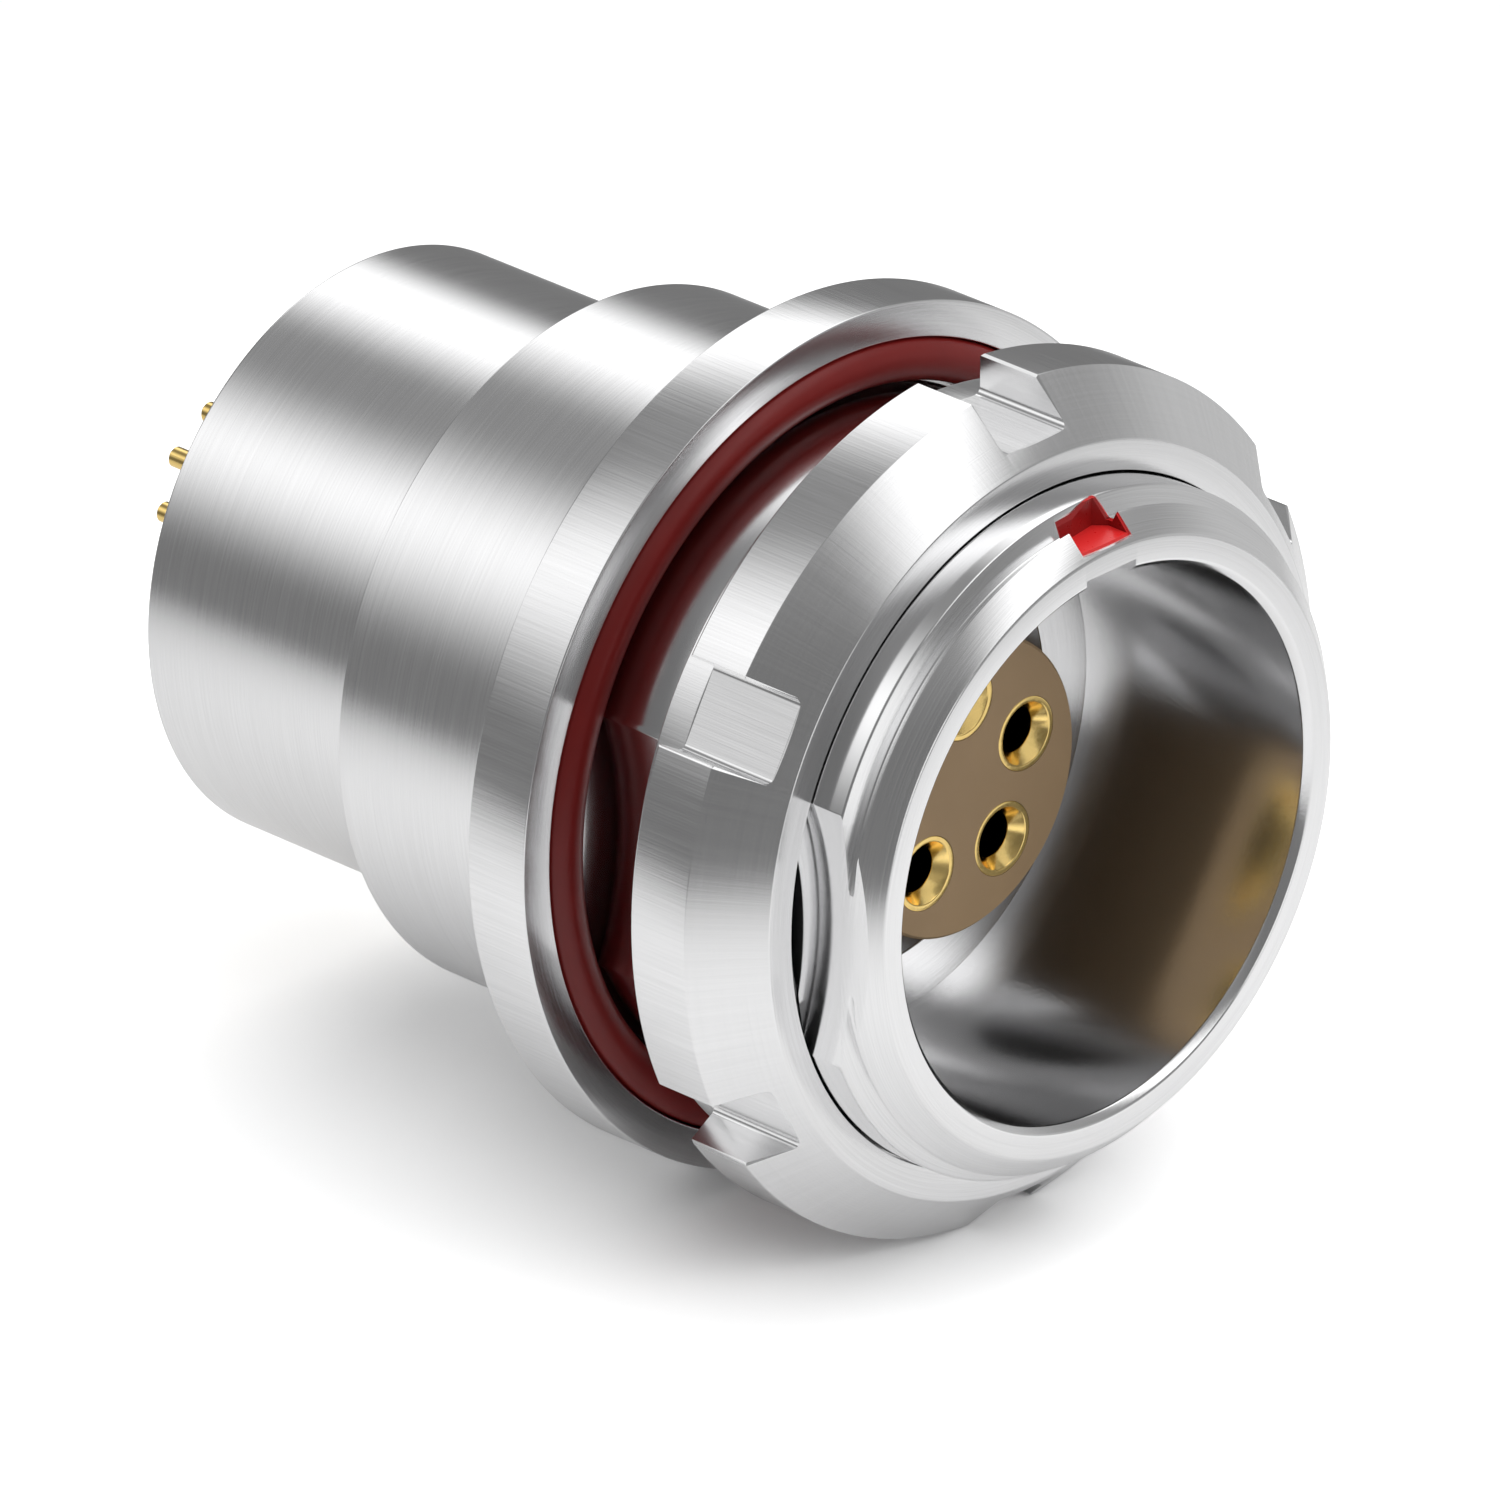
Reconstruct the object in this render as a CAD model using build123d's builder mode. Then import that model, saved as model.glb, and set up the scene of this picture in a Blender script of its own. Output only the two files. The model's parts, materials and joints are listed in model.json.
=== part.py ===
from build123d import *
from math import cos, radians, sin
import os

# Rear-mounted waterproof panel socket with five contacts.
# The origin is the centre of the flange's panel face. The plug comes in from the
# front, which is -Y, +Z is up and carries the keyway, and the tails leave at +Y.
# All sizes are in millimetres.

# Bore for the plug, which the radii of the turned pieces are built on
bore_diameter = 16.0
bore_depth = 8.3
mouth_bevel = 0.2
keyway_width = 1.95
keyway_depth = 0.35

# Panel barrel, M20 x 1 on a wall round the bore, with a flat on each side
barrel_wall = 1.94
thread_diameter = bore_diameter + 2 * barrel_wall
thread_length = 8.72
flat_depth = 0.74

# Nose in front of the thread: a shallow groove, a lip and a 45 degree cone
relief_slope = 0.26
relief_length = 0.2
relief_depth = 0.62
lip_slope = 0.13
lip_drop = 0.34
bevel_length = 0.69
nose_face_drop = 1.03

# Red index mark in the top of the nose
index_width = 1.93
index_floor_depth = 0.95
index_length = 1.22
index_point = 0.14
index_point_offset = 0.65
index_corner = 0.19
paint_thickness = 0.06

# Flange, as wide as the nut, and the face groove of its O-ring
rim_height = 2.56
rim_diameter = thread_diameter + 2 * rim_height
flange_thickness = 2.1
edge_bevel = 0.1
groove_width = 1.51
groove_depth = 0.92
panel_ring_gap = 0.03
panel_ring_play = 0.22
panel_ring_section = groove_width - panel_ring_gap - panel_ring_play

# Collar behind the flange and the pocket for the contact block
pocket_step = 0.3
pocket_diameter = bore_diameter + 2 * pocket_step
pocket_fit = 0.02
collar_wall = 1.85
collar_diameter = pocket_diameter + 2 * collar_wall
collar_length = 7.25

# Slotted nut and the washer behind it
panel_gap = 2.92
washer_thickness = 1.03
washer_height = 1.31
washer_diameter = thread_diameter + 2 * washer_height
washer_clearance = 0.06
washer_bevel = 0.08
nut_length = 3.67
nut_cone_length = 1.6
nut_cone_step = 1.62
nut_thread_clearance = 0.09
nut_bore_bevel = 0.12
nut_rear_bevel = 0.12
notch_count = 6
notch_width = 2.5
notch_depth = 1.25
notch_fillet = 0.2
notch_edge = 0.08

# Carrier of the contact block
shoulder_width = 1.7
recess_diameter = bore_diameter - 2 * shoulder_width
recess_depth = 4.3
web_thickness = 1.4
carrier_length = 7.9
insulator_fit = 0.04

# Insulators
insulator_diameter = 8.72
insulator_stand = 2.92
insulator_edge = 0.08
insulator_flange_diameter = 11.9
front_flange_thickness = 1.4
rear_flange_thickness = 0.8
rear_body_diameter = 10.6
rear_body_length = 4.8
flange_fit = 0.05

# Contacts
contact_count = 5
contact_circle = 5.12
hood_diameter = 2.17
hood_length = 5.2
hood_wall = 0.19
hood_lip = 0.6
hood_countersink = 0.42
contact_hole_diameter = 1.3
tine_length = 4.0
tine_slot = 0.2
tine_gap = 0.05
contact_collar_diameter = 2.6
contact_collar_thickness = 0.8
contact_rear_diameter = 2.24
contact_rear_stand = 0.6
contact_fit = 0.03
tail_diameter = 0.6
tail_circle = 5.2
tail_spread = 18.0
tail_stand = 5.4
tail_tip = 0.08

# Seals
seal_width = 1.2
seal_depth = 0.8
seal_round = 0.25
carrier_seal_offset = 3.2
sleeve_seal_offset = 1.7
insulator_seal_depth = 0.7
insulator_seal_width = 0.9

# Key pin between the carrier and the insulators
key_diameter = 0.9
key_length = 1.6

# Rear sleeve and potting
sleeve_step = 0.3
sleeve_diameter = pocket_diameter + 2 * sleeve_step
sleeve_length = 8.97
sleeve_wall = 1.7
sleeve_mouth_diameter = sleeve_diameter - 2 * sleeve_wall
sleeve_edge = 0.15
potting_recess = 0.5

# Stations along the axis
relief_rear_y = -(thread_length + relief_slope)
relief_front_y = relief_rear_y - relief_length
lip_y = relief_front_y - lip_slope
nose_face_y = lip_y - bevel_length
bore_floor_y = nose_face_y + bore_depth
shell_rear_y = flange_thickness + collar_length
washer_rear_y = -panel_gap
nut_rear_y = washer_rear_y - washer_thickness
nut_front_y = nut_rear_y - nut_length
recess_floor_y = bore_floor_y + recess_depth
web_rear_y = recess_floor_y + web_thickness
carrier_rear_y = bore_floor_y + carrier_length
insulator_face_y = bore_floor_y - insulator_stand
insulator_joint_y = web_rear_y + front_flange_thickness
clamp_y = insulator_joint_y + rear_flange_thickness
insulator_rear_y = clamp_y + rear_body_length
hood_rear_y = insulator_face_y + hood_length
sleeve_rear_y = shell_rear_y + sleeve_length
tail_end_y = sleeve_rear_y + tail_stand

# Radii used by more than one piece
thread_radius = thread_diameter / 2
bore_radius = bore_diameter / 2
pocket_radius = pocket_diameter / 2
block_radius = pocket_radius - pocket_fit
insulator_radius = insulator_diameter / 2
flange_radius = insulator_flange_diameter / 2
counterbore_radius = flange_radius + flange_fit
hood_radius = hood_diameter / 2
socket_radius = hood_radius - hood_wall
tail_radius = tail_diameter / 2
relief_radius = thread_radius - relief_depth
lip_radius = thread_radius - lip_drop
nose_face_radius = thread_radius - nose_face_drop
rim_radius = rim_diameter / 2
flat_distance = thread_radius - flat_depth


def station(y):
    """A plane across the axis at y, with local x along +X and local y along +Z."""
    return Plane.XZ.offset(-y)


def contact_place(index):
    """Angle from +X towards +Z, and the centre in x and z, of one contact."""
    angle = 90 - index * 360 / contact_count
    radius = contact_circle / 2
    return angle, radius * cos(radians(angle)), radius * sin(radians(angle))


def nose_outline(inset):
    """Outline of the nose from its front face back to the thread, set in by inset."""
    return [
        (nose_face_y + inset, nose_face_radius - inset),
        (lip_y, lip_radius - inset),
        (relief_front_y, relief_radius - inset),
        (relief_rear_y, relief_radius - inset),
        (-thread_length, thread_radius - inset),
    ]


def index_outline(margin):
    """Plan of the index notch in x and y, set in by margin and open at the front."""
    half_width = index_width / 2 - margin
    back_y = nose_face_y + index_length - margin
    return [
        (-half_width, nose_face_y - margin),
        (-half_width, back_y),
        (-index_width / 6, back_y),
        (index_point_offset - margin, back_y + index_point),
        (half_width, back_y - index_corner),
        (half_width, nose_face_y - margin),
    ]


def save(piece, name):
    """Label a finished piece and write its file."""
    piece.part.label = name
    export_step(piece.part, f"parts/{name}.step")


os.makedirs("parts", exist_ok=True)

# Shell: flange, panel barrel, nose and collar, turned from one bar
with BuildPart() as shell:
    with BuildSketch(Plane.YZ):
        with BuildLine():
            Polyline(
                (nose_face_y, bore_radius + mouth_bevel),
                *nose_outline(0),
                (groove_depth, thread_radius),
                (groove_depth, thread_radius + groove_width),
                (0, thread_radius + groove_width),
                (0, rim_radius - edge_bevel),
                (edge_bevel, rim_radius),
                (flange_thickness - edge_bevel, rim_radius),
                (flange_thickness, rim_radius - edge_bevel),
                (flange_thickness, collar_diameter / 2),
                (shell_rear_y - edge_bevel, collar_diameter / 2),
                (shell_rear_y, collar_diameter / 2 - edge_bevel),
                (shell_rear_y, pocket_radius),
                (bore_floor_y, pocket_radius),
                (bore_floor_y, bore_radius),
                (nose_face_y + mouth_bevel, bore_radius),
                close=True,
            )
        make_face()
    revolve(axis=Axis.Y)
    with BuildSketch(station(nose_face_y)):
        with Locations((flat_distance + flat_depth, 0), (-flat_distance - flat_depth, 0)):
            Rectangle(2 * flat_depth, thread_diameter)
        Circle(thread_radius + groove_width / 2, mode=Mode.INTERSECT)
    extrude(amount=nose_face_y - groove_depth, mode=Mode.SUBTRACT)
    with BuildSketch(station(nose_face_y)):
        Circle(bore_radius + keyway_depth)
        Rectangle(
            keyway_width,
            bore_diameter,
            align=(Align.CENTER, Align.MIN),
            mode=Mode.INTERSECT,
        )
    extrude(amount=-bore_depth, mode=Mode.SUBTRACT)
    with BuildSketch(Plane.XY.offset(thread_radius - index_floor_depth)):
        with BuildLine():
            Polyline(*index_outline(0), close=True)
        make_face()
    extrude(amount=2 * index_floor_depth, mode=Mode.SUBTRACT)
save(shell, "shell")

# Red coat on the floor and the walls of the index notch
with BuildPart() as index_mark:
    with BuildSketch(Plane.YZ):
        with BuildLine():
            Polyline(
                (nose_face_y + paint_thickness, bore_radius),
                *nose_outline(paint_thickness),
                (index_point - thread_length, thread_radius - paint_thickness),
                (index_point - thread_length, bore_radius),
                close=True,
            )
        make_face()
    revolve(axis=Axis.Y)
    with BuildSketch(Plane.XY.offset(thread_radius - index_floor_depth)):
        with BuildLine():
            Polyline(*index_outline(0), close=True)
        make_face()
    extrude(amount=2 * index_floor_depth, mode=Mode.INTERSECT)
    with BuildSketch(Plane.XY.offset(thread_radius - index_floor_depth + paint_thickness)):
        with BuildLine():
            Polyline(*index_outline(paint_thickness), close=True)
        make_face()
    extrude(amount=2 * index_floor_depth, mode=Mode.SUBTRACT)
save(index_mark, "index_mark")

# O-ring that seals the flange to the back of the panel
with BuildPart() as panel_o_ring:
    with BuildSketch(Plane.YZ):
        ring_centre = thread_radius + panel_ring_play + panel_ring_section / 2
        with Locations((groove_depth - panel_ring_section / 2, ring_centre)):
            Circle(panel_ring_section / 2)
    revolve(axis=Axis.Y)
save(panel_o_ring, "panel_o_ring")

# Washer between the panel and the nut, keyed to the flats so that it doesn't turn
with BuildPart() as clamp_washer:
    with BuildSketch(station(washer_rear_y)):
        Circle(washer_diameter / 2)
    extrude(amount=washer_thickness)
    chamfer(clamp_washer.edges(), washer_bevel)
    with BuildSketch(station(washer_rear_y)):
        Circle(thread_radius + washer_clearance)
        Rectangle(
            2 * (flat_distance + washer_clearance),
            thread_diameter + 1,
            mode=Mode.INTERSECT,
        )
    extrude(amount=washer_thickness, mode=Mode.SUBTRACT)
save(clamp_washer, "clamp_washer")

# Slotted nut with a conical front
with BuildPart() as slotted_nut:
    with BuildSketch(Plane.YZ):
        nut_bore_radius = thread_radius + nut_thread_clearance
        with BuildLine():
            Polyline(
                (nut_rear_y, nut_bore_radius + nut_bore_bevel),
                (nut_rear_y, rim_radius - nut_rear_bevel),
                (nut_rear_y - nut_rear_bevel, rim_radius),
                (nut_front_y + nut_cone_length, rim_radius),
                (nut_front_y, rim_radius - nut_cone_step),
                (nut_front_y, nut_bore_radius + nut_bore_bevel),
                (nut_front_y + nut_bore_bevel, nut_bore_radius),
                (nut_rear_y - nut_bore_bevel, nut_bore_radius),
                close=True,
            )
        make_face()
    revolve(axis=Axis.Y)
    corner_radius = (rim_radius - notch_depth) + notch_depth / 2
    with BuildSketch(station(nut_rear_y)) as notches:
        with PolarLocations(rim_radius - notch_depth, notch_count, start_angle=90):
            Rectangle(2 * notch_depth, notch_width, align=(Align.MIN, Align.CENTER))
        floor_corners = notches.vertices().filter_by(
            lambda corner: Vector(corner.X, corner.Y, 0).length < corner_radius
        )
        fillet(floor_corners, notch_fillet)
    extrude(amount=nut_length, mode=Mode.SUBTRACT)
    new_edges = slotted_nut.edges(Select.LAST)
    corners = new_edges.filter_by(Axis.Y).filter_by(
        lambda edge: Vector(edge.center().X, 0, edge.center().Z).length < corner_radius
    )
    chamfer(new_edges - corners, notch_edge)
save(slotted_nut, "slotted_nut")

# Metal carrier whose front face is the floor of the bore
with BuildPart() as block_carrier:
    with BuildSketch(Plane.YZ):
        carrier_groove_y = bore_floor_y + carrier_seal_offset
        seal_pocket_radius = insulator_radius + insulator_fit + insulator_seal_width
        with BuildLine():
            Polyline(
                (bore_floor_y, recess_diameter / 2),
                (bore_floor_y, block_radius),
                (carrier_groove_y, block_radius),
                (carrier_groove_y, block_radius - seal_depth),
                (carrier_groove_y + seal_width, block_radius - seal_depth),
                (carrier_groove_y + seal_width, block_radius),
                (carrier_rear_y, block_radius),
                (carrier_rear_y, counterbore_radius),
                (web_rear_y, counterbore_radius),
                (web_rear_y, seal_pocket_radius),
                (web_rear_y - insulator_seal_depth, seal_pocket_radius),
                (web_rear_y - insulator_seal_depth, insulator_radius + insulator_fit),
                (recess_floor_y, insulator_radius + insulator_fit),
                (recess_floor_y, recess_diameter / 2),
                close=True,
            )
        make_face()
    revolve(axis=Axis.Y)
    with BuildSketch(station(web_rear_y)):
        with Locations((0, flange_radius)):
            Circle(key_diameter / 2)
    extrude(amount=-key_length, mode=Mode.SUBTRACT)
save(block_carrier, "block_carrier")

# Seals squeezed into their grooves
with BuildPart() as carrier_seal:
    with BuildSketch(Plane.YZ):
        with Locations((carrier_groove_y + seal_width / 2, pocket_radius - seal_depth / 2)):
            RectangleRounded(seal_width, seal_depth, seal_round)
    revolve(axis=Axis.Y)
save(carrier_seal, "carrier_seal")

with BuildPart() as insulator_seal:
    with BuildSketch(Plane.YZ):
        seal_middle_y = web_rear_y - insulator_seal_depth / 2
        with Locations((seal_middle_y, seal_pocket_radius - insulator_seal_width / 2)):
            RectangleRounded(insulator_seal_depth, insulator_seal_width, seal_round)
    revolve(axis=Axis.Y)
save(insulator_seal, "insulator_seal")

# Front insulator: holds the sockets, and its flange seats on the carrier's web
with BuildPart() as front_insulator:
    with BuildSketch(Plane.YZ):
        with BuildLine():
            Polyline(
                (insulator_face_y, 0),
                (insulator_face_y, insulator_radius - insulator_edge),
                (insulator_face_y + insulator_edge, insulator_radius),
                (web_rear_y, insulator_radius),
                (web_rear_y, flange_radius),
                (insulator_joint_y, flange_radius),
                (insulator_joint_y, 0),
                close=True,
            )
        make_face()
    revolve(axis=Axis.Y)
    with BuildSketch(station(insulator_face_y)):
        with PolarLocations(contact_circle / 2, contact_count, start_angle=90):
            Circle(hood_radius)
    extrude(amount=-(insulator_joint_y - insulator_face_y), mode=Mode.SUBTRACT)
    with BuildSketch(station(insulator_joint_y)):
        with PolarLocations(contact_circle / 2, contact_count, start_angle=90):
            Circle(contact_collar_diameter / 2 + contact_fit)
    extrude(amount=contact_collar_thickness, mode=Mode.SUBTRACT)
    with BuildSketch(station(web_rear_y)):
        with Locations((0, flange_radius)):
            Circle(key_diameter / 2)
    extrude(amount=-front_flange_thickness, mode=Mode.SUBTRACT)
save(front_insulator, "front_insulator")

# Rear insulator: its flange is clamped by the rear sleeve
with BuildPart() as rear_insulator:
    with BuildSketch(station(insulator_joint_y)):
        Circle(flange_radius)
    extrude(amount=-rear_flange_thickness)
    with BuildSketch(station(clamp_y)):
        Circle(rear_body_diameter / 2)
    extrude(amount=-rear_body_length)
    with BuildSketch(station(insulator_joint_y)):
        with PolarLocations(contact_circle / 2, contact_count, start_angle=90):
            Circle(contact_rear_diameter / 2 + contact_fit)
    extrude(amount=-(insulator_rear_y - insulator_joint_y), mode=Mode.SUBTRACT)
    with BuildSketch(station(insulator_joint_y)):
        with Locations((0, flange_radius)):
            Circle(key_diameter / 2)
    extrude(amount=-rear_flange_thickness, mode=Mode.SUBTRACT)
save(rear_insulator, "rear_insulator")

# Pin that stops both insulators turning in the carrier
with BuildPart() as insulator_key:
    with BuildSketch(station(web_rear_y)):
        with Locations((0, flange_radius)):
            Circle(key_diameter / 2)
    extrude(amount=-key_length)
save(insulator_key, "insulator_key")

# Five contacts, each with a closed-entry hood over its tines
for index in range(contact_count):
    angle, x, z = contact_place(index)
    contact_plane = Plane(origin=(x, 0, z), x_dir=(0, 1, 0), z_dir=(1, 0, 0))
    contact_axis = Axis((x, 0, z), (0, 1, 0))
    hole_radius = contact_hole_diameter / 2

    with BuildPart() as hood:
        with BuildSketch(contact_plane):
            with BuildLine():
                Polyline(
                    (insulator_face_y, socket_radius),
                    (insulator_face_y, hood_radius),
                    (hood_rear_y, hood_radius),
                    (hood_rear_y, socket_radius),
                    (insulator_face_y + hood_lip, socket_radius),
                    (insulator_face_y + hood_lip, hole_radius),
                    (insulator_face_y + hood_countersink, hole_radius),
                    close=True,
                )
            make_face()
        revolve(axis=contact_axis)
    save(hood, f"contact_hood_{index + 1}")

    with BuildPart() as contact:
        tine_front_y = insulator_face_y + hood_lip + tine_gap
        collar_front_y = insulator_joint_y - contact_collar_thickness
        foot_y = insulator_rear_y + contact_rear_stand
        with BuildSketch(contact_plane):
            with BuildLine():
                Polyline(
                    (tine_front_y, hole_radius),
                    (tine_front_y, socket_radius - tine_gap),
                    (tine_front_y + tine_length, socket_radius - tine_gap),
                    (tine_front_y + tine_length, socket_radius),
                    (hood_rear_y, socket_radius),
                    (hood_rear_y, hood_radius),
                    (collar_front_y, hood_radius),
                    (collar_front_y, contact_collar_diameter / 2),
                    (insulator_joint_y, contact_collar_diameter / 2),
                    (insulator_joint_y, contact_rear_diameter / 2),
                    (foot_y, contact_rear_diameter / 2),
                    (foot_y, 0),
                    (hood_rear_y, 0),
                    (hood_rear_y, hole_radius),
                    close=True,
                )
            make_face()
        revolve(axis=contact_axis)
        with BuildSketch(station(tine_front_y)):
            with Locations((x, z)):
                Rectangle(contact_collar_diameter, tine_slot, rotation=angle)
                Rectangle(tine_slot, contact_collar_diameter, rotation=angle)
        extrude(amount=-tine_length, mode=Mode.SUBTRACT)
        with BuildSketch(station(foot_y)):
            for side in (-1, 1):
                with PolarLocations(tail_circle / 2, 1, start_angle=angle + side * tail_spread):
                    Circle(tail_radius)
        extrude(amount=-(tail_end_y - foot_y))
        tail_ends = contact.faces().filter_by(Plane.XZ).sort_by(Axis.Y)[-2:]
        chamfer(tail_ends.edges(), tail_tip)
    save(contact, f"contact_{index + 1}")

# Rear sleeve: its spigot holds the contact block in the shell
with BuildPart() as rear_sleeve:
    with BuildSketch(Plane.YZ):
        sleeve_groove_y = carrier_rear_y + sleeve_seal_offset
        sleeve_bore_radius = rear_body_diameter / 2 + flange_fit
        sleeve_radius = sleeve_diameter / 2
        with BuildLine():
            Polyline(
                (carrier_rear_y, sleeve_bore_radius),
                (carrier_rear_y, block_radius),
                (sleeve_groove_y, block_radius),
                (sleeve_groove_y, block_radius - seal_depth),
                (sleeve_groove_y + seal_width, block_radius - seal_depth),
                (sleeve_groove_y + seal_width, block_radius),
                (shell_rear_y, block_radius),
                (shell_rear_y, sleeve_radius),
                (sleeve_rear_y - sleeve_edge, sleeve_radius),
                (sleeve_rear_y, sleeve_radius - sleeve_edge),
                (sleeve_rear_y, sleeve_mouth_diameter / 2),
                (insulator_rear_y, sleeve_mouth_diameter / 2),
                (insulator_rear_y, sleeve_bore_radius),
                close=True,
            )
        make_face()
    revolve(axis=Axis.Y)
save(rear_sleeve, "rear_sleeve")

with BuildPart() as sleeve_seal:
    with BuildSketch(Plane.YZ):
        with Locations((sleeve_groove_y + seal_width / 2, pocket_radius - seal_depth / 2)):
            RectangleRounded(seal_width, seal_depth, seal_round)
    revolve(axis=Axis.Y)
save(sleeve_seal, "sleeve_seal")

# Resin that seals the tails into the rear sleeve
with BuildPart() as rear_potting:
    with BuildSketch(station(insulator_rear_y)):
        Circle(sleeve_mouth_diameter / 2)
    extrude(amount=-(sleeve_rear_y - potting_recess - insulator_rear_y))
    with BuildSketch(station(insulator_rear_y)):
        with PolarLocations(contact_circle / 2, contact_count, start_angle=90):
            Circle(contact_rear_diameter / 2)
    extrude(amount=-contact_rear_stand, mode=Mode.SUBTRACT)
    with BuildSketch(station(insulator_rear_y)):
        for side in (-1, 1):
            with PolarLocations(tail_circle / 2, contact_count, start_angle=90 + side * tail_spread):
                Circle(tail_radius)
    extrude(amount=-(sleeve_rear_y - insulator_rear_y), mode=Mode.SUBTRACT)
save(rear_potting, "rear_potting")
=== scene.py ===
import json
import math

import bmesh
import bpy
from mathutils import Matrix, Vector


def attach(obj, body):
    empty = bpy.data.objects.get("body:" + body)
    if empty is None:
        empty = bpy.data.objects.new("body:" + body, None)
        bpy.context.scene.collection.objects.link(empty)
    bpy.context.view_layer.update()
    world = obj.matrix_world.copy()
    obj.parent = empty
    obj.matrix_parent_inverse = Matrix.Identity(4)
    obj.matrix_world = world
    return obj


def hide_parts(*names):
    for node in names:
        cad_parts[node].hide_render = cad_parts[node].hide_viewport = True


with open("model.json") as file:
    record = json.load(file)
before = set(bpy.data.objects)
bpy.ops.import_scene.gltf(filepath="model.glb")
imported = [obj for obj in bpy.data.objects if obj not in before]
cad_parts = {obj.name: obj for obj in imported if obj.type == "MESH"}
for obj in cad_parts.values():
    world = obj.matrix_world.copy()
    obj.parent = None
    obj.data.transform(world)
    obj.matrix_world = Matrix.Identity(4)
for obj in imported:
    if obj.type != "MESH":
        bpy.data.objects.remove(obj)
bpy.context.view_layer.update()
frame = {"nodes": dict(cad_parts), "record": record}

# Waterproof panel socket, dressed for a studio picture.
# The turned pieces are rebuilt here with fine facets and softened edges, in the CAD
# pieces' own places. Lengths are millimetres here and in the shape functions, radii
# are from the socket's axis, and stations run along Y from the nose back.
MM = 0.001
SEGMENTS = 384
INSULATOR_SEGMENTS = 192
HOLE_SEGMENTS = 96
WASHER_HOLE_SEGMENTS = 256
MERGE = 1e-8
CORNER_STEPS = 4
CORNER_POINTS = CORNER_STEPS + 1

# Shell: radii
BORE = 8.0
BORE_BEVEL = 0.2
BARREL = 9.94
RELIEF = 9.32
LIP = 9.6
NOSE_FACE = 8.91
RIM = 12.5
GROOVE_OUTER = 11.45
COLLAR = 10.15
POCKET = 8.3

# Shell: stations
NOSE_Y = -10.0
LIP_Y = -9.31
RELIEF_FRONT_Y = -9.18
RELIEF_REAR_Y = -8.98
CREST_Y = -8.72
BORE_FLOOR_Y = -1.7
GROOVE_Y = 0.92
FLANGE_BACK_Y = 2.1
SHELL_BACK_Y = 9.35
SHELL_EDGE = 0.06

# Shell: flats, keyway and the notch of the index mark. Cutters start ahead of the
# nose and reach past the barrel.
CUT_FRONT_Y = -10.5
CUT_OUT = 10.5
FLAT = 9.2
FLAT_HALF = 4.3
KEYWAY_HALF = 0.975
KEYWAY_BASE = 5.0
KEYWAY_TOP = 8.34
INDEX_FLOOR = 8.99
INDEX_TOP = 11.0
INDEX_PLAN = [
    (-0.965, -10.4), (-0.965, -8.78), (-0.322, -8.78),
    (0.65, -8.64), (0.965, -8.97), (0.965, -10.4),
]

# Rear sleeve
BLOCK = 8.28
SLEEVE = 8.6
SLEEVE_BORE = 6.9
SLEEVE_THROAT = 5.35
SEAL_GROOVE = 7.5
SLEEVE_FRONT_Y = 6.2
SEAL_FRONT_Y = 7.9
SEAL_BACK_Y = 9.1
THROAT_BACK_Y = 11.0
SLEEVE_BACK_Y = 18.32
SLEEVE_EDGE = 0.1

# Right-handed thread under the nut: its pitch, and where a groove of the barrel lies
# at the angle 0. The nut's ridges run in these grooves. The flats are half the width
# at the deep and at the plain radius.
PITCH = 1.0
THREAD_PLACE = -7.435
THREAD_TURNS = 7
THREAD_ROOT = 9.39
THREAD_CREST = 9.46
ROOT_FLATS = (0.12, 0.4375)
CREST_FLATS = (0.125, 0.454)
THREAD_FRONT_Y = -7.4
THREAD_BACK_Y = -2.95
THREAD_RUN = 0.25

# Slotted nut
NUT_BORE = 10.03
NUT_MOUTH = 9.99
NUT_BACK_Y = -3.95
NUT_FRONT_Y = -7.62
NUT_MOUTH_Y = -7.2
NUT_THREAD_FRONT_Y = -7.1
NUT_THREAD_BACK_Y = -4.1
NUT_REAR_BEVEL = 0.12
NUT_RIM_BEVEL = 0.1
CONE_BASE_Y = NUT_FRONT_Y + 1.6
CONE_STEP = 1.62
NUT_EDGE = 0.03

# The nut's six notches: a floor with rounded corners, and bevels that begin at these
# stations and heights on the rim and on the cone
NOTCHES = 6
NOTCH_HALF = 1.25
NOTCH_FLOOR = 11.25
NOTCH_FILLET = 0.2
NOTCH_TOP = 14.0
NOTCH_FRONT_Y = -9.0
NOTCH_BACK_Y = -3.0
FILLET_STEPS = 6
FLARE = 0.3
EDGE_BACK = (NOTCH_BACK_Y, 12.357)
EDGE_BASE = (CONE_BASE_Y, 12.357)
EDGE_FRONT = (NUT_MOUTH_Y, 11.24)

# Washer
WASHER_BACK_Y = -2.92
WASHER = 11.25
WASHER_FLAT = 9.26
WASHER_HOLE = 10.0
WASHER_EDGE = 0.08

# O-ring: the middle of its section, and the section's radius
RING_Y = 0.29
RING = 10.79
RING_SECTION = 0.63
RING_STEPS = 48

# Contact block
RECESS = 6.3
WEB_BORE = 4.4
CARRIER_REAR = 5.975
RECESS_FLOOR_Y = 2.6
WEB_BACK_Y = 4.0
CARRIER_EDGE = 0.06
INSULATOR = 4.36
INSULATOR_FLANGE = 5.95
INSULATOR_Y = -4.62
INSULATOR_BACK_Y = 5.4
INSULATOR_EDGE = 0.08
CONTACTS = 5
CONTACT_CIRCLE = 2.56
HOOD = 1.085
HOLE = HOOD + 0.005
HOLE_FRONT_Y = -5.5
HOLE_BACK_Y = 6.0
HOOD_INNER = 0.895
HOOD_MOUTH = 0.925
HOOD_BACK_Y = 0.58
HOOD_LIP_BACK_Y = INSULATOR_Y + 0.6
HOOD_LIP_FRONT_Y = INSULATOR_Y + 0.42
HOOD_EDGE = 0.03
PIN_HOLE = 0.65


# Shapes

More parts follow.
